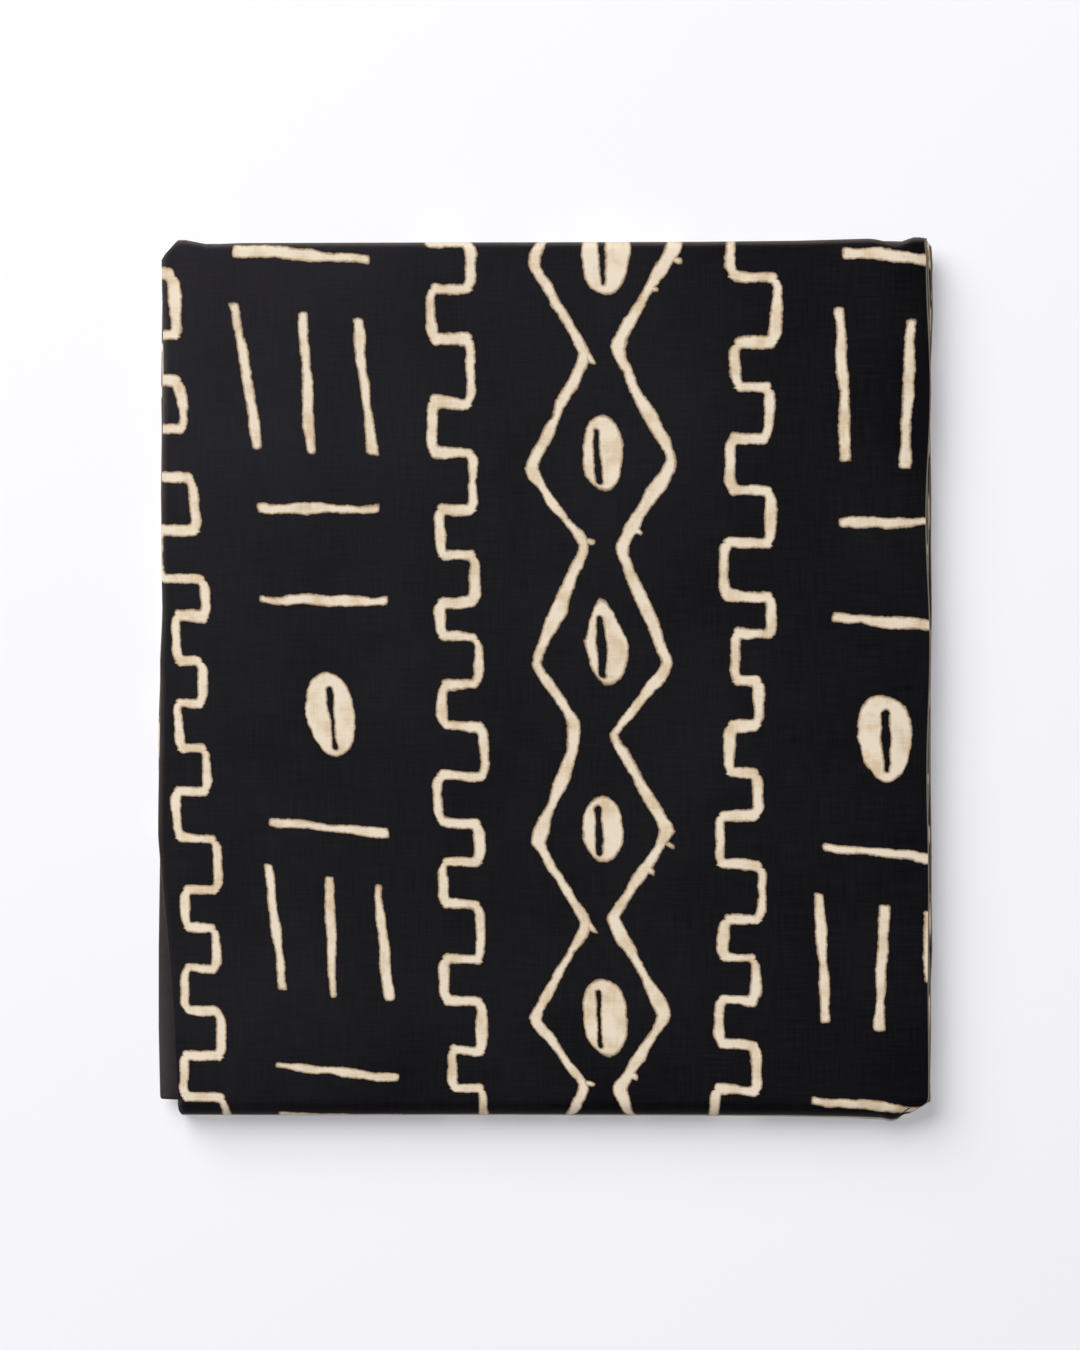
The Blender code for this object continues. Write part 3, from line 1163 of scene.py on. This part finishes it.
    def shell(self, shader: Shader, u: Value, v: Value, shell: Shell) -> tuple[Value, Value]:
        """Distances from a cowrie's outline and from its slit.

        Args:
            shader: the material's nodes.
            u: the place across the repeat.
            v: the place along it.
            shell: the cowrie.

        Returns:
            The two distances, each negative inside.
        """
        below = v - shell.v
        down = below / (shell.length / 2)
        narrowed = shader.clamp(down * -shell.point, 0.0, 1.0)
        right = (u - shell.u - below * shell.lean) / (shell.width / 2) * (1.0 + narrowed)
        ends = shader.math("POWER", abs(down), shell.blunt)
        outline = (shader.length(right, ends) - 1.0) * (shell.width / 2)
        aside = u - shell.u - shell.width * shell.slit - below * 0.05
        half = shell.length * self.slit_share - self.slit_half
        beyond = shader.math("MAXIMUM", abs(below - shell.length * 0.04) - half, 0.0)
        return outline, shader.length(aside, beyond) - self.slit_half

    def where_drawn(
        self, distance: Value, drawn: Union[Stroke, Shell], odd_row: Value, odd_column: Value,
    ) -> Value:
        """A distance from a stroke or a cowrie that is far off in the repeats without it.

        Args:
            distance: the distance from its outline.
            drawn: the stroke or the cowrie.
            odd_row: 1 in every second row of repeats, and 0 in the others.
            odd_column: the same for the columns of repeats.

        Returns:
            The distance, with a whole repeat added where it is not drawn.
        """
        for parity, odd in ((drawn.row, odd_row), (drawn.column, odd_column)):
            if parity is not None:
                distance = distance + abs(odd - float(parity)) * self.repeat
        return distance

    def ink(self, shader: Shader, u: Value, v: Value) -> Value:
        """Distance outside the print's strokes, negative inside them.

        Args:
            shader: the material's nodes.
            u: the place across the cloth, in the print's millimetres.
            v: the place along it.

        Returns:
            The signed distance from the strokes' edges.
        """
        brush = shader.noise(shader.vector(u * 0.03, v * 0.075), 1.0, 1.0, 13.0)
        swell = (brush - 0.5) * self.zigzag_swell
        row = shader.math("FLOOR", (v - self.first_v) / self.repeat)
        column = shader.math("FLOOR", (u - self.first_u) / self.repeat)
        odd_row = shader.math("FLOORED_MODULO", row, 2.0)
        odd_column = shader.math("FLOORED_MODULO", column, 2.0)
        u = u - column * self.repeat
        v = v - row * self.repeat
        parts = []
        for points in (self.left_line, self.right_line):
            parts.append(self.steps(shader, u, v, points) - self.line_half)
        for points in (self.chain_left, self.chain_right):
            line = self.slanted(shader, v, points)
            parts.append(abs(u - line) * self.zigzag_slope - self.zigzag_half - swell)
        for strokes, half in (
            (self.bars, self.bar_half), (self.uprights, self.upright_half), (self.barbs, self.barb_half),
        ):
            for stroke in strokes:
                distance = self.bar(shader, u, v, stroke) - half
                parts.append(self.where_drawn(distance, stroke, odd_row, odd_column))
        for shell in self.shells:
            outline, slit = self.shell(shader, u, v, shell)
            outline = self.where_drawn(outline, shell, odd_row, odd_column)
            parts.append(shader.math("MAXIMUM", outline, slit * -1.0))
        return shader.least(*parts)


@dataclass(frozen=True)
class PrintedCotton:
    """Plain-woven cotton: near-black ground, cream hand-drawn strokes and pale edges from wear; the ground is
    painted lighter towards the back left as sheen, and the back roll's pale edge is partly a painted
    highlight.
    """

    pattern: StrokePrint = StrokePrint()
    name: str = "printed_cotton"
    ground: tuple[float, ...] = (0.0016, 0.0014, 0.0026, 1.0)
    # lighter ground, reached through random fading and, towards the back left, through painted sheen
    ground_faded_and_sheen: tuple[float, ...] = (0.0165, 0.0152, 0.0188, 1.0)
    cream: tuple[float, ...] = (0.780, 0.675, 0.535, 1.0)
    tan: tuple[float, ...] = (0.650, 0.500, 0.330, 1.0)
    stroke_edge: tuple[float, ...] = (0.360, 0.255, 0.160, 1.0)
    # pale brown of wear at the crests, also the colour of the painted highlight on the back roll
    wear_and_highlight: tuple[float, ...] = (0.135, 0.115, 0.095, 1.0)
    palest: tuple[float, ...] = (0.560, 0.470, 0.370, 1.0)
    selvedge: tuple[float, ...] = (0.170, 0.145, 0.115, 1.0)
    selvedge_width: float = 0.0006
    stroke_keeps: float = 0.8
    # reach of the painted sheen on the ground, and how much more of it the back-left corner gets
    sheen_reach: float = 0.15
    corner_sheen: float = 15.0
    thread: float = 0.00046
    wobble_u: float = 2.6
    wobble_v: float = 3.8
    ragged: float = 1.5
    reach_a: float = 0.68
    reach_b: float = 0.77
    origin_b: float = -0.0057
    shrink_a: float = 0.0458
    shrink_b: float = -0.0833
    bow_start: float = -0.25
    bow_reach: float = 0.42
    bow: float = 2.3
    bow_middle: float = 0.07
    bow_ends: float = 10.5
    bow_most: float = 5.2

    def place(self, shader: Shader, x: Value, y: Value) -> tuple[Value, Value]:
        """Place in the print of a place on the flat cloth, which is slightly out of true.

        Args:
            shader: the material's nodes.
            x: the place across the cloth, in metres.
            y: the place along it.

        Returns:
            The print's u and v, in its millimetres.
        """
        size = self.pattern.repeat * MM
        a = x / size
        b = y * (-1.0 / size) + self.origin_b
        near_a = shader.clamp(a, -self.reach_a, self.reach_a)
        near_b = shader.clamp(b, -self.reach_b, self.reach_b)
        scale = (near_a * self.shrink_a + near_b * self.shrink_b + 1.0) / self.pattern.repeat
        from_middle = near_b - self.bow_middle
        share = shader.clamp((self.bow_start - a) / self.bow_reach, 0.0, 1.0)
        drop = shader.clamp(from_middle * from_middle * self.bow_ends, 0.0, self.bow_most)
        bowed = share * (self.bow - drop)
        return (a * 1.0006 - b * 0.0065) / scale - bowed, (b * 1.0157 - a * 0.0365) / scale

    def material(self, sheet: PrintedSheet) -> bpy.types.Material:
        """Makes the cloth's material.

        Args:
            sheet: the piece, for the names of its map and marks.

        Returns:
            The material.
        """
        shader = Shader(self.name)
        flat = shader.node("ShaderNodeUVMap", {"uv_map": sheet.flat_map}).outputs[0]
        split = shader.node("ShaderNodeSeparateXYZ", None, Vector=flat)
        x, y = Value(shader, split.outputs[0]), Value(shader, split.outputs[1])
        u, v = self.place(shader, x, y)
        u = u + self.hand(shader, flat, 1.0, self.wobble_u)
        v = v + self.hand(shader, flat, 5.0, self.wobble_v)
        pressed = (shader.noise(flat, 58.0, 1.0, 12.0) - 0.55) * 2.8
        outside = self.pattern.ink(shader, u, v) + pressed + (shader.noise(flat, 620.0, 1.0, 9.0) - 0.5) * 0.7
        ink = 1.0 - shader.step(outside, -0.28, 0.28)
        inner = 1.0 - shader.step(outside, -1.0, -0.1)
        streaks_x = shader.noise(shader.vector(x * 1600.0, y * 70.0), 1.0, 1.0, 3.0)
        streaks_y = shader.noise(shader.vector(x * 70.0, y * 1600.0), 1.0, 1.0, 4.0)
        slubs = (streaks_x + streaks_y) * 0.5
        mottle = shader.noise(flat, 95.0, 3.0, 6.0)
        fading = shader.noise(flat, 14.0, 3.0, 8.0)
        # painted sheen: the ground is painted lighter towards the back and the left, most at the back-left
        # corner where the key light falls, on top of its random fading
        near_x = shader.clamp(x, -self.sheen_reach, self.sheen_reach)
        near_y = shader.clamp(y, -self.sheen_reach, self.sheen_reach)
        painted_sheen_drift = near_y * 0.95 - near_x - near_x * shader.math("MAXIMUM", near_y, 0.0) * self.corner_sheen
        faded_and_sheen = shader.clamp(slubs * 1.1 + fading * 0.8 - 0.595 + painted_sheen_drift, 0.0, 1.0)
        ground = shader.colour(faded_and_sheen, self.ground, self.ground_faded_and_sheen)
        cream = shader.colour(shader.step(mottle + slubs * 0.35, 0.60, 0.86), self.cream, self.tan)
        stroke = shader.colour(inner, self.stroke_edge, cream)
        printed = shader.colour(ink, ground, stroke)
        # mark of wear at the crests; on the back roll it also holds a painted highlight, so the ground there
        # is painted paler
        wear = shader.attribute(sheet.wear_and_highlight_layer)
        blotches = shader.noise(flat, 310.0, 3.0, 11.0) * 0.45 + shader.noise(flat, 42.0, 2.0, 14.0) * 0.5
        patchy = wear * (blotches + 0.53)
        bare = 1.0 - ink * self.stroke_keeps
        rubbed_and_highlit = shader.colour(shader.step(patchy, 0.05, 1.0) * bare * 0.8, printed, self.wear_and_highlight)
        rubbed_and_highlit_print = shader.colour(shader.step(patchy, 1.1, 1.9) * bare, rubbed_and_highlit, self.palest)
        edge = shader.attribute(sheet.selvedge_layer)
        band = 1.0 - shader.step(edge, self.selvedge_width * 0.6, self.selvedge_width)
        colour = shader.colour(band, rubbed_and_highlit_print, self.selvedge)
        weave = self.weave(shader, x, y)
        height = weave * 0.5 + slubs * 0.6
        bump = shader.node("ShaderNodeBump", None, Strength=0.35, Distance=0.00012, Height=height)
        roughness = shader.clamp(0.46 + slubs * 0.18 + ink * 0.2, 0.0, 1.0)
        surface = shader.node(
            "ShaderNodeBsdfPrincipled", None,
            Base_Color=colour, Roughness=roughness, Specular_IOR_Level=0.05, Normal=bump.outputs[0],
        )
        shader.node("ShaderNodeOutputMaterial", None, Surface=surface.outputs[0])
        return shader.material

    def hand(self, shader: Shader, flat: bpy.types.NodeSocket, seed: float, wobble: float) -> Value:
        """How far a hand-drawn stroke strays, in the print's millimetres.

        Args:
            shader: the material's nodes.
            flat: the place on the flat cloth.
            seed: which noise is used.
            wobble: the reach of the slow part.

        Returns:
            The distance to move the print.
        """
        slow = (shader.noise(flat, 52.0, 1.0, seed) - 0.5) * wobble
        return slow + (shader.noise(flat, 230.0, 2.0, seed + 2.0) - 0.5) * self.ragged

    def weave(self, shader: Shader, x: Value, y: Value) -> Value:
        """Height of the threads, which go over and under each other.

        Args:
            shader: the material's nodes.
            x: the place across the cloth, in metres.
            y: the place along it.

        Returns:
            The height, from 0 to 1.
        """
        warp = shader.math("SINE", x * (math.tau / self.thread))
        weft = shader.math("SINE", y * (math.tau / self.thread * 0.9))
        return shader.math("MAXIMUM", warp * weft, warp * weft * -1.0)


@dataclass
class Studio:
    """The surface under the bundle, the camera straight above it and the lights."""

    top: float
    frame_height: float = 1.411
    lens: float = 100.0
    film: float = 36.0
    floor_size: float = 3.2
    floor_colour: tuple[float, ...] = (0.905, 0.905, 0.945, 1.0)
    floor_darker: tuple[float, ...] = (0.89, 0.89, 0.93, 1.0)
    world: tuple[float, ...] = (0.93, 0.94, 1.0, 1.0)
    world_strength: float = 0.05
    world_seen: float = 0.62
    key_at: tuple[float, float, float] = (-2.20, 2.75, 2.75)
    key_size: float = 4.35
    key_power: float = 234.0
    fill_at: tuple[float, float, float] = (-0.10, -0.15, 1.0)
    fill_power: float = 1.28

    def floor(self) -> bpy.types.Object:
        """Makes the pale surface.

        Returns:
            The surface.
        """
        bpy.ops.object.select_all(action="DESELECT")
        bpy.ops.mesh.primitive_plane_add(size=self.floor_size)
        plane = bpy.context.active_object
        plane.name = plane.data.name = "pale_surface"
        shader = Shader("pale_paint")
        place = shader.node("ShaderNodeTexCoord").outputs["Object"]
        tone = shader.noise(place, 3.0, 2.0, 2.0)
        colour = shader.colour(tone, self.floor_colour, self.floor_darker)
        surface = shader.node(
            "ShaderNodeBsdfPrincipled", None,
            Base_Color=colour, Roughness=0.85, Specular_IOR_Level=0.1,
        )
        shader.node("ShaderNodeOutputMaterial", None, Surface=surface.outputs[0])
        plane.data.materials.append(shader.material)
        return plane

    def camera(self) -> None:
        """Places the camera so that the bundle is where the picture has it."""
        data = bpy.data.cameras.new("camera")
        data.lens, data.sensor_width = self.lens, self.film
        data.dof.use_dof = False
        camera = bpy.data.objects.new("camera", data)
        bpy.context.scene.collection.objects.link(camera)
        across = (PICTURE_WIDTH / 2 - BUNDLE_MIDDLE_X) / PIXELS_PER_METRE
        along = (BUNDLE_MIDDLE_Y - PICTURE_HEIGHT / 2) / PIXELS_PER_METRE
        camera.location = (across, along, self.top + self.frame_height)
        bpy.context.scene.camera = camera

    def lights(self) -> None:
        """Adds the soft key from the back left, a fill without shadows and the pale surroundings."""
        key = bpy.data.lights.new("soft_key", "AREA")
        key.shape, key.size, key.energy = "DISK", self.key_size, self.key_power
        lamp = bpy.data.objects.new("soft_key", key)
        lamp.location = self.key_at
        lamp.rotation_euler = (-Vector(self.key_at)).to_track_quat("-Z", "Y").to_euler()
        bpy.context.scene.collection.objects.link(lamp)
        fill = bpy.data.lights.new("shadowless_fill", "SUN")
        fill.energy, fill.angle = self.fill_power, math.radians(20.0)
        fill.use_shadow = False
        fill_lamp = bpy.data.objects.new("shadowless_fill", fill)
        fill_lamp.rotation_euler = (-Vector(self.fill_at)).to_track_quat("-Z", "Y").to_euler()
        bpy.context.scene.collection.objects.link(fill_lamp)
        world = bpy.data.worlds.new("pale_room")
        world.use_nodes = True
        nodes, links = world.node_tree.nodes, world.node_tree.links
        background = nodes["Background"]
        background.inputs[0].default_value = self.world
        path = nodes.new("ShaderNodeLightPath")
        strength = nodes.new("ShaderNodeMapRange")
        strength.inputs[3].default_value = self.world_strength
        strength.inputs[4].default_value = self.world_seen
        links.new(path.outputs["Is Camera Ray"], strength.inputs[0])
        links.new(strength.outputs[0], background.inputs[1])
        bpy.context.scene.world = world


def corners(bounds: tuple[Vector, Vector]) -> list[list[float]]:
    """Two corners as plain lists."""
    return [list(corner) for corner in bounds]


def main() -> None:
    """Builds the folded cloth and its studio, and measures the bounds of what is shown."""
    logging.basicConfig(level=logging.INFO, format="%(name)s: %(message)s")
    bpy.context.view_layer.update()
    section = FoldSection(width=0.290, depth=0.330)
    sheet = PrintedSheet(section, Plies(span=section.width))
    cloth = sheet.build()
    cloth.data.materials.clear()
    cloth.data.materials.append(PrintedCotton().material(sheet))
    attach(cloth, "root")
    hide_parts(NODE)
    studio = Studio(top=section.height(max(section.front_fold_levels)) + section.layer_thickness / 2)
    floor = studio.floor()
    floor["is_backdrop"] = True
    studio.camera()
    studio.lights()
    bpy.context.scene.view_settings.view_transform = "Standard"
    shown = corners(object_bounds())
    size = [round((high - low) * 1000, 1) for low, high in zip(*shown)]


if __name__ == "__main__":
    main()
